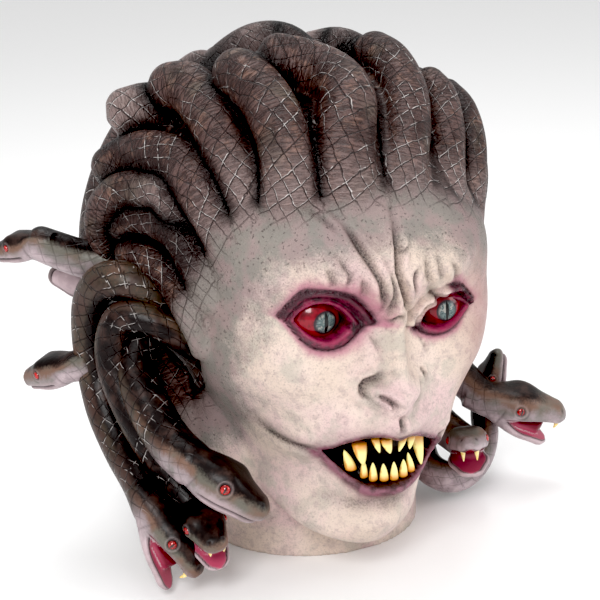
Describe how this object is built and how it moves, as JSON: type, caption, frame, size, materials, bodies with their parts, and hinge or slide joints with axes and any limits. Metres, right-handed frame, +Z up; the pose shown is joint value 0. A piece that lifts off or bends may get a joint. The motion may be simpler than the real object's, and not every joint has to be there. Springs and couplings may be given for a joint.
{
  "type": "medusa mask",
  "caption": "Full-head latex mask of a snarling medusa with a scalp of thick scaly snake coils and free snake heads at its sides, open at the neck",
  "frame": {"origin": "on the floor plane of the neck rim, below the middle of the whole outline seen from above", "axes": "+Z up out of the crown, the face looks along -Y, +X is the mask's own left"},
  "size_m": [0.3236, 0.2368, 0.2782],
  "materials": {
    "latex_mask": "painted latex skin, satin"
  },
  "bodies": {
    "root": {"latex_mask": "latex_mask"}
  },
  "joints": []
}
